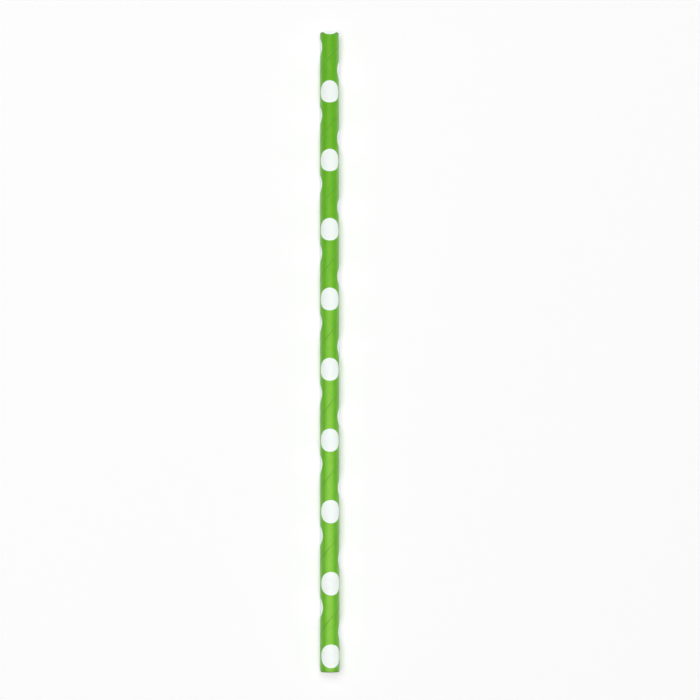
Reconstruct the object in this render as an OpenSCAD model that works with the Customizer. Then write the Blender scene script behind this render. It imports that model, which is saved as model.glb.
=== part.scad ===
// Paper drinking straw, wound from ribbons of paper and cut square at both ends.
// It lies on its side along Y and rests on the plane z = 0.
// The printed ply's joint climbs to the right when the straw is seen from above, with +Y up.

/* [Tube] */
// Length between the cut ends
straw_len = 197; // [60:1:260]
// Inside diameter of the bore
bore_d = 5.2; // [3:0.1:12]
// Thickness of one inner ply
inner_ply_t = 0.14; // [0.1:0.01:0.3]
// Number of inner plies
inner_plies = 2; // [1:1:4]
// Thickness of the printed outer ply
outer_ply_t = 0.09; // [0.06:0.01:0.2]

/* [Winding] */
// Length of tube that one turn of the ribbon covers
lead = 21.64; // [14:0.02:60]
// Width of the glue line where the edges of the printed ply meet
glue_line_w = 0.15; // [0.1:0.01:0.4]
// Gap between the edges of the innermost ply
inner_gap = 0.3; // [0.1:0.01:0.6]
// Depth of that gap
inner_gap_depth = 0.1; // [0.05:0.01:0.1]
// Angle round the tube from the printed ply's joint to the innermost ply's joint
joint_offset = 135; // [30:15:330]

/* [Print] */
// Diameter of a bare dot, measured along the paper
dot_d = 7; // [2:0.1:9]
// Dots along the ribbon in one turn
dots_per_turn = 3; // [1:1:5]
// Distance from the lower end to the middle of the first dot that faces up
first_dot = 4.8; // [0:0.1:20]

/* [Hidden] */

paper_white = [0.96, 0.97, 0.97];
print_green = [0.42, 0.71, 0.17];
glue_green = [0.34, 0.6, 0.14];

bore_r = bore_d / 2;
outer_r = bore_r + inner_plies * inner_ply_t + outer_ply_t;
// Depth at which the printed ply meets the one below it
glue_r = outer_r - outer_ply_t;
dot_r = dot_d / 2;

// How far a cutter passes the surface that it opens, and how far two layers share paper
overcut = 0.5;
bond = 0.02;
// Straight edges round a dot, and straight steps in a turn of a joint
dot_sides = 20;
joint_steps = 24;

// Side of the upright tube that faces up once it is laid down
up_angle = -90;
// Rise from one dot to the next along the ribbon
dot_rise = lead / dots_per_turn;
// First and last dots that reach onto the tube, counted from the first one that faces up
lowest_dot = ceil((-dot_r - first_dot) / dot_rise);
highest_dot = floor((straw_len - first_dot + dot_r) / dot_rise);

// A point of the upright tube: radius, angle round the axis and height above the lower end
function wrap(r, angle, h) = [r * cos(angle), r * sin(angle), h];

// Triangles between a ring of n points that starts at point a and the ring after it
function band(a, n) = [
    for (j = [0 : n - 1])
        let (k = (j + 1) % n)
            each [[a + j, a + n + j, a + n + k], [a + j, a + n + k, a + k]]
];

module tube(inner, outer) {
    difference() {
        cylinder(h = straw_len, r = outer, $fn = 48);
        translate([0, 0, -overcut])
            cylinder(h = straw_len + 2 * overcut, r = inner, $fn = 48);
    }
}

// A straight column through the wall, its outline a circle once it is wrapped on the tube. A dot
// that reaches further round than the column's sides ends there.
module dot_column(angle, h, edge_r) {
    reach = edge_r / outer_r * 180 / PI;
    outline = [
        for (i = [0 : dot_sides - 1])
            let (a = 360 * i / dot_sides)
                [outer_r * sin(max(-90, min(90, reach * cos(a)))), edge_r * sin(a)]
    ];
    rotate([0, 0, angle])
        translate([0, 0, h])
            rotate([90, 0, 90])
                linear_extrude(outer_r + overcut)
                    polygon(outline);
}

module dots(edge_r) {
    for (i = [lowest_dot : highest_dot])
        dot_column(up_angle + 360 * i / dots_per_turn, first_dot + i * dot_rise, edge_r);
}

// A helical bar as wide as the gap between two edges of the ribbon. It crosses the side that
// faces up at height h_up.
module joint_bar(low_r, high_r, gap, h_up) {
    width = gap / cos(atan(lead / (2 * PI * outer_r)));
    // Steps from the crossing to the ends of the tube, and just past them
    first = floor((-width - h_up) / lead * joint_steps);
    last = ceil((straw_len + width - h_up) / lead * joint_steps);
    points = [
        for (i = [first : last])
            let (a = up_angle + 360 * i / joint_steps, h = h_up + lead * i / joint_steps)
                each [
                    wrap(high_r, a, h - width / 2),
                    wrap(low_r, a, h - width / 2),
                    wrap(low_r, a, h + width / 2),
                    wrap(high_r, a, h + width / 2)
                ]
    ];
    sides = [for (i = [0 : last - first - 1]) each band(4 * i, 4)];
    top = 4 * (last - first);
    ends = [[0, 1, 2, 3], [top + 3, top + 2, top + 1, top]];
    polyhedron(points, concat(sides, ends), convexity = 20);
}

module inner_layers() {
    color(paper_white)
        tube(bore_r, glue_r + bond);
}

// The printed ply, coloured but for its bare dots and for the line where its edges meet
module coloured_field() {
    color(print_green)
        difference() {
            tube(glue_r, outer_r);
            dots(dot_r - bond);
            outer_joint(glue_line_w - bond);
        }
}

module bare_field() {
    color(paper_white)
        intersection() {
            tube(glue_r, outer_r);
            dots(dot_r);
        }
}

// A helical bar along the line where the edges of the printed ply meet, midway between two turns
// of the dots
module outer_joint(width) {
    joint_bar(glue_r - bond, 2 * outer_r, width, first_dot + lead / 2);
}

// Glue that fills the gap there, level with the print
module glue_line() {
    color(glue_green)
        intersection() {
            tube(glue_r, outer_r);
            outer_joint(glue_line_w);
        }
}

// The groove where the edges of the innermost ply meet
module inner_joint() {
    h_up = first_dot + lead / 2 - lead * joint_offset / 360;
    color(paper_white)
        joint_bar(bore_r - overcut, bore_r + inner_gap_depth, inner_gap, h_up);
}

module straw() {
    translate([0, -straw_len / 2, outer_r])
        rotate([-90, 0, 0])
            difference() {
                union() {
                    inner_layers();
                    coloured_field();
                    bare_field();
                    glue_line();
                }
                inner_joint();
            }
}

straw();
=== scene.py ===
"""Looks of the paper drinking straw, a wound tube of printed paper that lies on a white table."""

import math

import bmesh
import bpy
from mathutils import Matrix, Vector


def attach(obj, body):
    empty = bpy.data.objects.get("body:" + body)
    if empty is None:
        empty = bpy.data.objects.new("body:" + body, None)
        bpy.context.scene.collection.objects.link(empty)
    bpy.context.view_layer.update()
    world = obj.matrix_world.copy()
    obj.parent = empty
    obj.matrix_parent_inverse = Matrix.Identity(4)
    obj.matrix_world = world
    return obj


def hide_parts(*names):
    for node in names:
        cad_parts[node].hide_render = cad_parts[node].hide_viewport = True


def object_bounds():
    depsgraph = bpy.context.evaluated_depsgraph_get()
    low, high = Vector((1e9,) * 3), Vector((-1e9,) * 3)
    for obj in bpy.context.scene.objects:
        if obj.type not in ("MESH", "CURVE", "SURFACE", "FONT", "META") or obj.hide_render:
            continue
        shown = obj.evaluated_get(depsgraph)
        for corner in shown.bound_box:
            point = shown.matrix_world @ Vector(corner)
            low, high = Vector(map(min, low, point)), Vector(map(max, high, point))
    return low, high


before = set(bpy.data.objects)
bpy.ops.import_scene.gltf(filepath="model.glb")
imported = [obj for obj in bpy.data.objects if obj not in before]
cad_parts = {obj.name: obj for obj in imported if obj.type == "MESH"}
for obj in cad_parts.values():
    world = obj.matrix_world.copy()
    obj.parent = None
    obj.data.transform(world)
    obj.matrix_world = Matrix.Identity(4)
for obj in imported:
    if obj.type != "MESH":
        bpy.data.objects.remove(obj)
cad_lo, cad_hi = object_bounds()

# Sizes are in millimetres. The straw lies along Y, with its axis at the height OUTER_R.
MM = 0.001
LENGTH = round((cad_hi[1] - cad_lo[1]) / MM, 3)
OUTER_R = round((cad_hi[0] - cad_lo[0]) / MM / 2, 3)
BORE_R = 2.6
INNER_PLY_T = 0.14
# Length of tube that one turn of the ribbon covers, and the slope of its edges
LEAD = 21.64
PITCH = math.atan(LEAD / (2 * math.pi * OUTER_R))
CHAMFER = 0.035

# The print: dots along the ribbon, the first one near the lower end
DOT_R = 3.5
DOTS_PER_TURN = 3
FIRST_DOT = 4.8
DOT_Y = FIRST_DOT - LENGTH / 2
# The print runs to the right of the ribbon's own turn, more so below than above the stretch
# between these two places
DRIFT_BELOW = math.radians(9.0)
DRIFT_ABOVE = math.radians(2.2)
DRIFT_FROM_Y = -68.0
DRIFT_TO_Y = -14.0

# The joint of the printed ply crosses the side that faces up at JOINT_Y. The joints of the other
# two plies are given as distances from it along the tube.
JOINT_Y = DOT_Y + LEAD / 2
GAP = 0.15
GAP_DEPTH = 0.06
INNER_JOINT = -LEAD * 135 / 360
INNER_GAP = 0.3
INNER_GAP_DEPTH = 0.08
MIDDLE_JOINT = LEAD * 0.31
# Half widths of the two gaps along the tube
HALF_GAP = GAP / math.cos(PITCH) / 2
HALF_INNER_GAP = INNER_GAP / math.cos(PITCH) / 2

# How far the paper's surface stays below the tube's own radius, the height of the lips beside the
# joint, the depth of the dents over the joints below, the height of the tube's slow waves, and how
# much wider than BORE_R the bore is
PAPER_DROP = 0.023
LIP = 0.010
DENT = 0.009
WAVE = 0.002
BORE_RISE = 0.006

# Slots of the mesh's materials
PRINTED, EDGE, BARE = 0, 1, 2

# Columns of faces round the outside and round the bore
OUTER_COLUMNS = 96
BORE_COLUMNS = 64
# Distance from a cut end within which a corner belongs to it
AT_END = 1e-3

# The picture of the paint: its side in pixels, pixels to a millimetre and pixels between parts
PAINT_PX = 1024
SCALE = 13.0 / PAINT_PX
MARGIN = 6 / PAINT_PX
# Lengthwise pieces that the outside and the bore are laid out in
OUTER_STRIPS = 3
BORE_STRIPS = 2
# The bore is laid out smaller and narrower, and the cut ends larger
BORE_SCALE = 0.55
BORE_SQUEEZE = 0.8
DISC_SCALE = 1.5
DISC_STEP = 3.2

# Colours, as linear light
INK = (0.099, 0.408, 0.011, 1)
INK_CLOUD = (0.115, 0.438, 0.015, 1)
INK_FIBRE = (0.140, 0.465, 0.026, 1)
INK_SPECK = (0.17, 0.50, 0.044, 1)
INK_WORN = (0.22, 0.50, 0.09, 1)
# Darker ink of the joint: glue and painted shade of its groove
INK_GLUE_AND_SHADE = (0.045, 0.19, 0.012, 1)
# Painted shade along the rims of the cut ends
INK_RIM_SHADE = (0.065, 0.18, 0.035, 1)
INK_SHINE = (1.0, 0.85, 0.40, 1)
WHITE = (0.86, 0.93, 0.90, 1)
WHITE_CLOUD = (0.88, 0.945, 0.915, 1)
WHITE_FIBRE = (0.83, 0.875, 0.85, 1)
WHITE_SHINE = (0.75, 0.60, 0.60, 1)
CUT = (0.74, 0.74, 0.70, 1)
CUT_PALE = (0.86, 0.86, 0.83, 1)
CUT_STREAK = (0.66, 0.65, 0.60, 1)
CUT_GLUE = (0.38, 0.36, 0.30, 1)
CUT_INK = (0.14, 0.43, 0.03, 1)
INSIDE = (0.80, 0.81, 0.78, 1)
INSIDE_PALE = (0.87, 0.88, 0.86, 1)
INSIDE_SPECK = (0.72, 0.72, 0.67, 1)
INSIDE_JOINT = (0.55, 0.54, 0.49, 1)

# The table, what it adds to itself where the camera sees it, near and at the horizon, between which
# distances in metres that fades, and the world's light on the object
TABLE_HALF = 2000.0
TABLE_DROP = 0.02
TABLE_WHITE = (0.90, 0.90, 0.90, 1)
TABLE_LIFT = 0.09
FAR_LIFT = 0.6
FADE_FROM = 0.25
FADE_TO = 1.4
PURE_WHITE = (1, 1, 1, 1)
SKY = 0.08

# The eye stands over the straw's lower half and looks a little towards +Y, turned a trace clockwise
# as seen from above. The picture is cut a little off centre. Angles are in degrees.
EYE = (2.54, -47.45, 521.4)
TILT = 5.53
TURN = -0.06
PICTURE_PX = 700
FOCAL_PX = 1692
SHIFT_PX = (12, -12)
SENSOR = 36


class Tree:
    """Short names for the nodes of one material."""

    def __init__(self, tree):
        self.tree = tree

    def node(self, kind, **settings):
        n = self.tree.nodes.new(kind)
        for key, value in settings.items():
            setattr(n, key, value)
        return n

    def put(self, value, socket):
        if isinstance(value, bpy.types.NodeSocket):
            self.tree.links.new(value, socket)
        else:
            socket.default_value = value

    def math(self, operation, *values):
        n = self.node("ShaderNodeMath", operation=operation)
        for value, socket in zip(values, n.inputs):
            self.put(value, socket)
        return n.outputs[0]

    def ramp(self, value, lo, hi, a=0.0, b=1.0):
        """Smooth step of value, from a at lo to b at hi."""
        n = self.node("ShaderNodeMapRange", interpolation_type="SMOOTHSTEP")
        for v, socket in zip((value, lo, hi, a, b), n.inputs):
            self.put(v, socket)
        return n.outputs[0]

    def mix(self, factor, a, b):
        n = self.node("ShaderNodeMix", data_type="RGBA")
        self.put(factor, n.inputs["Factor"])
        self.put(a, n.inputs[6])
        self.put(b, n.inputs[7])
        return n.outputs[2]

    def vector(self, x, y, z):
        n = self.node("ShaderNodeCombineXYZ")
        for value, socket in zip((x, y, z), n.inputs):
            self.put(value, socket)
        return n.outputs[0]

    def noise(self, where, scale, detail=2.0, rough=0.5):
        n = self.node("ShaderNodeTexNoise")
        self.put(where, n.inputs["Vector"])
        n.inputs["Scale"].default_value = scale
        n.inputs["Detail"].default_value = detail
        n.inputs["Roughness"].default_value = rough
        return n.outputs["Fac"]

    def around_zero(self, noise, height):
        """Noise moved to lie on both sides of zero, and scaled."""
        return self.math("MULTIPLY", self.math("SUBTRACT", noise, 0.5), height)

    def length(self, x, y):
        squares = [self.math("MULTIPLY", v, v) for v in (x, y)]
        return self.math("SQRT", self.math("ADD", *squares))


def material(name):
    mat = bpy.data.materials.new(name)
    mat.use_nodes = True
    t = Tree(mat.node_tree)
    shader = mat.node_tree.nodes["Principled BSDF"]
    return mat, t, shader


def place(t):
    """The place in millimetres, its Y, its angle from the top to the right, and its radius."""
    c = t.node("ShaderNodeTexCoord").outputs["Object"]
    mm = t.node("ShaderNodeVectorMath", operation="SCALE")
    t.put(c, mm.inputs[0])
    mm.inputs["Scale"].default_value = 1 / MM
    xyz = t.node("ShaderNodeSeparateXYZ")
    t.put(mm.outputs[0], xyz.inputs[0])
    x, y = xyz.outputs[0], xyz.outputs[1]
    z = t.math("SUBTRACT", xyz.outputs[2], OUTER_R)
    return mm.outputs[0], y, t.math("ARCTAN2", x, z), t.length(x, z)


def ribbon(t, y, angle, joint_y):
    """How far a point lies along its ribbon, across it, and from the nearer of its two edges."""
    turns = t.math("DIVIDE", angle, 2 * math.pi)
    rise = t.math("SUBTRACT", t.math("DIVIDE", t.math("SUBTRACT", y, joint_y), LEAD), turns)
    turn = t.math("FLOOR", rise)
    part = t.math("SUBTRACT", rise, turn)
    total = t.math("ADD", turns, turn)
    along = t.math("MULTIPLY", total, LEAD / math.sin(PITCH))
    along = t.math("ADD", along, t.math("MULTIPLY", part, LEAD * math.sin(PITCH)))
    across = t.math("MULTIPLY", part, LEAD * math.cos(PITCH))
    far = t.math("SUBTRACT", LEAD * math.cos(PITCH), across)
    return along, across, t.math("MINIMUM", across, far)


def fibre_noise(t, along, across, fine_along, fine_across):
    """Noise that is drawn out along the ribbon."""
    where = t.vector(t.math("MULTIPLY", along, fine_along), t.math("MULTIPLY", across, fine_across), 0.0)
    return t.noise(where, 1.0, 4.0, 0.6)


def relief(t, shader, height, strength, depth):
    """Bumps of the paper's surface, depth in millimetres."""
    bump = t.node("ShaderNodeBump")
    bump.inputs["Strength"].default_value = strength
    bump.inputs["Distance"].default_value = depth * MM
    t.put(height, bump.inputs["Height"])
    t.put(bump.outputs[0], shader.inputs["Normal"])


def dot_mask(t, mm, y, angle):
    """One on the bare dots, zero on the ink. The nearest dot is found from the height."""
    step = LEAD / DOTS_PER_TURN
    up = t.math("DIVIDE", t.math("SUBTRACT", y, DOT_Y), step)
    k = t.math("ROUND", up)
    dy = t.math("MULTIPLY", t.math("SUBTRACT", up, k), step)
    drift = t.ramp(y, DRIFT_FROM_Y, DRIFT_TO_Y, DRIFT_BELOW, DRIFT_ABOVE)
    turn = t.math("SUBTRACT", angle, t.math("MULTIPLY", k, 2 * math.pi / DOTS_PER_TURN))
    turn = t.math("WRAP", t.math("SUBTRACT", turn, drift), math.pi, -math.pi)
    distance = t.length(t.math("MULTIPLY", turn, OUTER_R), dy)
    ragged = t.around_zero(t.noise(mm, 3.0, 3.0, 0.6), 0.12)
    return t.ramp(t.math("ADD", distance, ragged), DOT_R - 0.05, DOT_R + 0.05, 1.0, 0.0)


def printed_paper():
    mat, t, shader = material("printed_paper")
    mm, y, angle, _ = place(t)
    along, across, joint = ribbon(t, y, angle, JOINT_Y)
    dot = dot_mask(t, mm, y, angle)
    fibres = fibre_noise(t, along, across, 0.35, 2.2)
    cloud = t.noise(t.vector(along, across, 0.0), 0.45, 3.0, 0.5)
    speck = t.noise(mm, 9.0, 3.0, 0.7)

    ink = t.mix(t.ramp(cloud, 0.3, 0.7), INK, INK_CLOUD)
    ink = t.mix(t.ramp(fibres, 0.35, 0.75, 0.0, 0.35), ink, INK_FIBRE)
    ink = t.mix(t.ramp(speck, 0.62, 0.78, 0.0, 0.35), ink, INK_SPECK)
    white = t.mix(t.ramp(cloud, 0.3, 0.7), WHITE, WHITE_CLOUD)
    white = t.mix(t.ramp(fibres, 0.4, 0.8, 0.0, 0.4), white, WHITE_FIBRE)
    colour = t.mix(dot, ink, white)

    # Ink worn along the two edges of the joint, and in the joint itself darker ink for glue and painted
    # shade of the groove
    worn = t.math("MULTIPLY", t.ramp(joint, 0.12, 0.5, 1.0, 0.0), t.ramp(speck, 0.45, 0.6, 0.0, 0.25))
    colour = t.mix(worn, colour, INK_WORN)
    glue_and_shade = t.ramp(t.math("ADD", joint, t.around_zero(speck, 0.08)), 0.05, 0.16, 1.0, 0.0)
    colour = t.mix(t.math("MULTIPLY", glue_and_shade, 0.5), colour, INK_GLUE_AND_SHADE)

    # Painted shade: the ink, not the dots, is darker along both rims of the cut ends
    rim_shade = t.ramp(t.math("ABSOLUTE", y), LENGTH / 2 - 1.0, LENGTH / 2 - 0.1, 0.0, 0.55)
    rim_shade = t.math("MULTIPLY", rim_shade, t.math("SUBTRACT", 1.0, dot))
    t.put(t.mix(rim_shade, colour, INK_RIM_SHADE), shader.inputs["Base Color"])

    rough = t.ramp(fibres, 0.3, 0.7, 0.28, 0.34)
    t.put(t.math("ADD", rough, t.math("MULTIPLY", dot, 0.2)), shader.inputs["Roughness"])
    shader.inputs["Specular IOR Level"].default_value = 0.75
    t.put(t.mix(dot, INK_SHINE, WHITE_SHINE), shader.inputs["Specular Tint"])
    shader.inputs["Sheen Weight"].default_value = 0.15
    shader.inputs["Sheen Roughness"].default_value = 0.5
    height = t.math("ADD", t.math("MULTIPLY", fibres, 0.5), t.math("MULTIPLY", speck, 0.35))
    relief(t, shader, height, 0.35, 0.012)
    return mat


def cut_edge():
    """Paper seen at the cut ends, with the glue between its three plies."""
    mat, t, shader = material("cut_edge")
    mm, _, angle, radius = place(t)
    speck = t.noise(mm, 14.0, 4.0, 0.7)
    streak = t.vector(t.math("MULTIPLY", angle, 6.0), t.math("MULTIPLY", radius, 30.0), 0.0)
    streak = t.noise(streak, 1.0, 3.0, 0.6)
    colour = t.mix(t.ramp(speck, 0.3, 0.7), CUT, CUT_PALE)
    colour = t.mix(t.ramp(streak, 0.45, 0.7, 0.0, 0.4), colour, CUT_STREAK)
    wavy = t.math("ADD", radius, t.around_zero(speck, 0.02))
    for plies in (1, 2):
        off = t.math("ABSOLUTE", t.math("SUBTRACT", wavy, BORE_R + plies * INNER_PLY_T))
        colour = t.mix(t.ramp(off, 0.004, 0.018, 0.75, 0.0), colour, CUT_GLUE)
    green = t.math("ADD", radius, t.math("MULTIPLY", speck, 0.02))
    green = t.ramp(green, OUTER_R - 0.02, OUTER_R - 0.005)
    colour = t.mix(t.math("MULTIPLY", green, 0.6), colour, CUT_INK)
    t.put(colour, shader.inputs["Base Color"])
    t.put(t.ramp(speck, 0.2, 0.8, 0.78, 0.9), shader.inputs["Roughness"])
    relief(t, shader, t.math("ADD", speck, t.math("MULTIPLY", streak, 0.6)), 0.6, 0.02)
    return mat


def bare_paper():
    """The white side of the innermost ply, with its joint."""
    mat, t, shader = material("bare_paper")
    mm, y, angle, _ = place(t)
    along, across, joint = ribbon(t, y, angle, JOINT_Y + INNER_JOINT)
    fibres = fibre_noise(t, along, across, 0.4, 2.4)
    speck = t.noise(mm, 8.0, 3.0, 0.7)
    colour = t.mix(t.ramp(fibres, 0.3, 0.7), INSIDE, INSIDE_PALE)
    colour = t.mix(t.ramp(speck, 0.6, 0.8, 0.0, 0.4), colour, INSIDE_SPECK)
    colour = t.mix(t.ramp(joint, 0.1, 0.25, 0.7, 0.0), colour, INSIDE_JOINT)
    t.put(colour, shader.inputs["Base Color"])
    t.put(t.ramp(fibres, 0.3, 0.7, 0.62, 0.72), shader.inputs["Roughness"])
    relief(t, shader, t.math("ADD", fibres, t.math("MULTIPLY", speck, 0.4)), 0.4, 0.015)
    return mat


def bell(x, middle, width):
    return math.exp(-(((x - middle) / width) ** 2))


def outer_radius(off, angle, y):
    """Radius of the printed side, at a distance off along the tube from the joint's middle."""
    if abs(off) < HALF_GAP:
        return OUTER_R - GAP_DEPTH
    r = OUTER_R - PAPER_DROP
    r += LIP * (bell(off, HALF_GAP + 0.15, 0.35) + bell(off, -HALF_GAP - 0.15, 0.35))
    r -= DENT * (bell(off, INNER_JOINT, 0.55) + bell(off, MIDDLE_JOINT, 0.45))
    r += WAVE * math.sin(y * 0.31 + 1.7) * math.sin(2 * angle + y * 0.13)
    return r


def bore_radius(off, angle, y):
    """Radius of the bore, at a distance off along the tube from its own joint's middle."""
    if abs(off) < HALF_INNER_GAP:
        return BORE_R + INNER_GAP_DEPTH
    return BORE_R + BORE_RISE + WAVE * math.sin(y * 0.27)


def outer_rows():
    """Distances from the joint at which rows of corners follow the ribbon, dense beside the joint."""
    wall, beside, plain, step = 0.012, (0.15, 0.5), 1.1, 0.9
    near = [HALF_GAP] + [HALF_GAP + d for d in beside]
    rows = [0.0, HALF_GAP - wall] + near + [plain]
    rows += [plain + i * step for i in range(1, 22)]
    return rows + [LEAD - d for d in (plain, near[2], near[1], near[0], HALF_GAP - wall)]


def bore_rows():
    wall, beside, steps = 0.015, 0.3, 9
    near = [HALF_INNER_GAP - wall, HALF_INNER_GAP, HALF_INNER_GAP + beside]
    rows = [0.0] + near + [LEAD * i / steps for i in range(1, steps)]
    return rows + [LEAD - d for d in reversed(near)]


def skin(bm, columns, joint_y, rows, radius_at, inward, slot):
    """A tube of quads whose rows follow the ribbon, so that the joint is one of them."""
    grid = []
    for m in range(-2, int(LENGTH / LEAD) + 4):
        for off in rows:
            line = []
            for j in range(columns):
                angle = -math.pi + 2 * math.pi * j / columns
                y = joint_y + LEAD * (angle / (2 * math.pi) + m) + off
                r = radius_at(off if off <= LEAD / 2 else off - LEAD, angle, y)
                corner = (r * math.sin(angle) * MM, y * MM, (OUTER_R + r * math.cos(angle)) * MM)
                line.append(bm.verts.new(corner))
            grid.append(line)
    for s in range(len(grid) - 1 - len(rows)):
        for j in range(columns):
            # The last column meets the first one a turn further up the ribbon
            k, up = (j + 1, 0) if j + 1 < columns else (0, len(rows))
            quad = [grid[s][j], grid[s + up][k], grid[s + up + 1][k], grid[s + 1][j]]
            face = bm.faces.new(quad[::-1] if inward else quad)
            face.material_index = slot
            face.smooth = True


def cut(bm, y, keep_below=None):
    """Splits everything at that height, and drops one side if keep_below is given."""
    bmesh.ops.bisect_plane(
        bm,
        geom=bm.verts[:] + bm.edges[:] + bm.faces[:],
        plane_co=(0, y * MM, 0),
        plane_no=(0, 1, 0),
        clear_outer=keep_below is True,
        clear_inner=keep_below is False,
        dist=1e-7,
    )


def finish_end(bm, end):
    """Rounds the two rims of one end a little, and closes it with paper square to the axis."""

    def at_end(vert):
        return abs(vert.co.y / MM - end) < AT_END

    axis_z = OUTER_R * MM
    for v in [v for v in bm.verts if at_end(v)]:
        r = math.hypot(v.co.x, v.co.z - axis_z)
        outside = r > (OUTER_R + BORE_R) / 2 * MM
        wanted = r - CHAMFER * MM if outside else r + 0.6 * CHAMFER * MM
        v.co.x *= wanted / r
        v.co.z = axis_z + (v.co.z - axis_z) * wanted / r
    edges = [e for e in bm.edges if e.is_boundary and all(at_end(v) for v in e.verts)]
    made = bmesh.ops.triangle_fill(bm, use_beauty=True, use_dissolve=False, edges=edges)
    for face in made["geom"]:
        if isinstance(face, bmesh.types.BMFace):
            face.material_index = EDGE
            face.smooth = False
            face.normal_update()
            if face.normal.y * end < 0:
                face.normal_flip()


def straw_mesh():
    bm = bmesh.new()
    skin(bm, OUTER_COLUMNS, JOINT_Y, outer_rows(), outer_radius, False, PRINTED)
    skin(bm, BORE_COLUMNS, JOINT_Y + INNER_JOINT, bore_rows(), bore_radius, True, BARE)
    top = LENGTH / 2
    cut(bm, top, keep_below=True)
    cut(bm, -top, keep_below=False)
    # Rows that hold the shape beside the rims, and seams for the picture of the paint
    for inset in (CHAMFER, 0.12, 0.5):
        cut(bm, top - inset)
        cut(bm, inset - top)
    for parts in (OUTER_STRIPS, BORE_STRIPS):
        for i in range(1, parts):
            cut(bm, LENGTH * i / parts - top)
    for end in (-top, top):
        finish_end(bm, end)
    bm.normal_update()
    return bm


def same_turn(angle, middle):
    """The angle, moved by a turn where that brings it nearer to the middle."""
    if angle - middle > math.pi:
        return angle - 2 * math.pi
    if angle - middle < -math.pi:
        return angle + 2 * math.pi
    return angle


def strip_number(y, strips):
    """Which of the lengthwise strips holds the height y above the lower end."""
    return min(int(y / (LENGTH / strips)), strips - 1)


def lay_out(bm):
    """Lays the two skins out in strips and the ends as discs, so that the paint is baked evenly."""
    uv = bm.loops.layers.uv.new("OFBake")
    around = 2 * math.pi * OUTER_R * SCALE
    outer_strip = LENGTH / OUTER_STRIPS
    bore_strip = LENGTH / BORE_STRIPS
    bore_left = MARGIN + OUTER_STRIPS * (around + MARGIN)
    narrow = BORE_SCALE * BORE_SQUEEZE
    disc = DISC_SCALE * SCALE
    for face in bm.faces:
        middle = face.calc_center_median()
        y_mid = middle.y / MM + LENGTH / 2
        a_mid = math.atan2(middle.x, middle.z - OUTER_R * MM)
        for loop in face.loops:
            x, y, z = (c / MM for c in loop.vert.co)
            y += LENGTH / 2
            z -= OUTER_R
            turned = (same_turn(math.atan2(x, z), a_mid) + math.pi) * OUTER_R * SCALE
            if face.material_index == PRINTED:
                n = strip_number(y_mid, OUTER_STRIPS)
                u = MARGIN + n * (around + MARGIN) + turned
                v = MARGIN + (y - n * outer_strip) * SCALE
            elif face.material_index == BARE:
                n = strip_number(y_mid, BORE_STRIPS)
                u = bore_left + n * (around * narrow + MARGIN) + turned * narrow
                v = MARGIN + (y - n * bore_strip) * SCALE * BORE_SCALE
            else:
                n = 0 if y_mid < LENGTH / 2 else 1
                u = MARGIN * 2 + OUTER_R * disc + n * OUTER_R * DISC_STEP * SCALE + x * disc
                v = MARGIN * 3 + outer_strip * SCALE + (OUTER_R + z) * disc
            loop[uv].uv = (u, v)


def straw():
    bm = straw_mesh()
    lay_out(bm)
    mesh = bpy.data.meshes.new("straw_paper")
    bm.to_mesh(mesh)
    bm.free()
    for mat in (printed_paper(), cut_edge(), bare_paper()):
        mesh.materials.append(mat)
    piece = bpy.data.objects.new("straw_paper", mesh)
    bpy.context.scene.collection.objects.link(piece)
    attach(piece, "root")
    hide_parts("straw")


def staged(name, data):
    """A new object of the stage, made of the given mesh or lamp."""
    o = bpy.data.objects.new(name, data)
    bpy.context.scene.collection.objects.link(o)
    return o


def table_white():
    """Matt white that keeps the shadow. Where the camera sees it, it is lifted to the photo's white,
    and towards the horizon it fades into the white behind it."""
    mat = bpy.data.materials.new("table_white")
    mat.use_nodes = True
    mat.node_tree.nodes.clear()
    t = Tree(mat.node_tree)
    matt = t.node("ShaderNodeBsdfDiffuse")
    matt.inputs["Color"].default_value = TABLE_WHITE
    glow = t.node("ShaderNodeEmission")
    glow.inputs["Color"].default_value = PURE_WHITE
    seen = t.node("ShaderNodeLightPath").outputs["Is Camera Ray"]
    far = t.node("ShaderNodeVectorMath", operation="LENGTH")
    t.put(t.node("ShaderNodeTexCoord").outputs["Object"], far.inputs[0])
    lift = t.ramp(far.outputs["Value"], FADE_FROM, FADE_TO, TABLE_LIFT, FAR_LIFT)
    t.put(t.math("MULTIPLY", seen, lift), glow.inputs["Strength"])
    both = t.node("ShaderNodeAddShader")
    t.put(matt.outputs[0], both.inputs[0])
    t.put(glow.outputs[0], both.inputs[1])
    t.put(both.outputs[0], t.node("ShaderNodeOutputMaterial").inputs["Surface"])
    return mat


def table_top():
    half, z = TABLE_HALF * MM, -TABLE_DROP * MM
    corners = [(-half, -half, z), (half, -half, z), (half, half, z), (-half, half, z)]
    mesh = bpy.data.meshes.new("table_top")
    mesh.from_pydata(corners, [], [(0, 1, 2, 3)])
    mesh.materials.append(table_white())
    staged("table_top", mesh)


def soft_box(name, size, place_mm, power, matt, gloss):
    """A lamp that faces the table. Matt and gloss say which part of the look it lights."""
    light = bpy.data.lights.new(name, "AREA")
    light.shape = "RECTANGLE"
    light.size, light.size_y = size[0] * MM, size[1] * MM
    light.energy = power
    o = staged(name, light)
    o.location = Vector(place_mm) * MM
    o.visible_diffuse = matt
    o.visible_glossy = gloss


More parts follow.
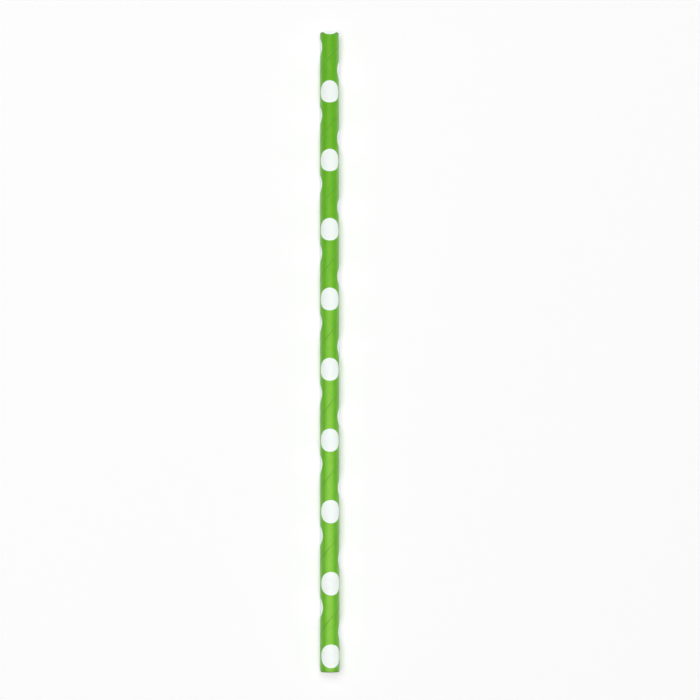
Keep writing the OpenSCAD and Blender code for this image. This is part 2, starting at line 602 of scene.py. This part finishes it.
def fill_light(name, azimuth, elevation, strength):
    """A wide even lamp low beside the table, which casts no shadow and no shine."""
    light = bpy.data.lights.new(name, "SUN")
    light.energy = strength
    light.angle = math.radians(30)
    light.use_shadow = False
    turn, rise = math.radians(azimuth), math.radians(elevation)
    flat = math.cos(rise)
    towards = Vector((flat * math.cos(turn), flat * math.sin(turn), math.sin(rise)))
    o = staged(name, light)
    o.rotation_euler = towards.to_track_quat("Z", "Y").to_euler()
    o.visible_glossy = False


def studio_world():
    """White behind everything that the camera sees, and a faint even light on the object."""
    world = bpy.data.worlds.new("studio")
    world.use_nodes = True
    bpy.context.scene.world = world
    t = Tree(world.node_tree)
    back = world.node_tree.nodes["Background"]
    back.inputs["Color"].default_value = PURE_WHITE
    seen = t.node("ShaderNodeLightPath").outputs["Is Camera Ray"]
    t.put(t.math("ADD", t.math("MULTIPLY", seen, 1 - SKY), SKY), back.inputs["Strength"])


def lamps():
    """One large soft key, three boxes that only make the highlight, and a fill on each side."""
    soft_box("key", size=(2600, 3500), place_mm=(-320, 300, 2800), power=90, matt=True, gloss=False)
    soft_box("shine", size=(600, 400), place_mm=(25, -90, 700), power=0.35, matt=False, gloss=True)
    soft_box("wide_shine", size=(1700, 400), place_mm=(-60, -90, 701), power=4.2, matt=False, gloss=True)
    soft_box("broad_shine", size=(3800, 400), place_mm=(-100, -90, 702), power=4.0, matt=False, gloss=True)
    fill_light("left_fill", azimuth=180, elevation=12, strength=0.38)
    fill_light("right_fill", azimuth=0, elevation=12, strength=0.94)


def camera():
    cam = bpy.data.cameras.new("camera")
    cam.sensor_width = SENSOR
    cam.lens = SENSOR * FOCAL_PX / PICTURE_PX
    cam.shift_x = SHIFT_PX[0] / PICTURE_PX
    cam.shift_y = SHIFT_PX[1] / PICTURE_PX
    cam.dof.use_dof = False
    cam.clip_start, cam.clip_end = 0.01, 20
    o = bpy.data.objects.new("camera", cam)
    bpy.context.scene.collection.objects.link(o)
    o.location = Vector(EYE) * MM
    o.rotation_euler = (math.radians(TILT), 0, math.radians(TURN))
    bpy.context.scene.camera = o


straw()
table_top()
studio_world()
lamps()
camera()
bpy.context.scene.view_settings.view_transform = "Standard"
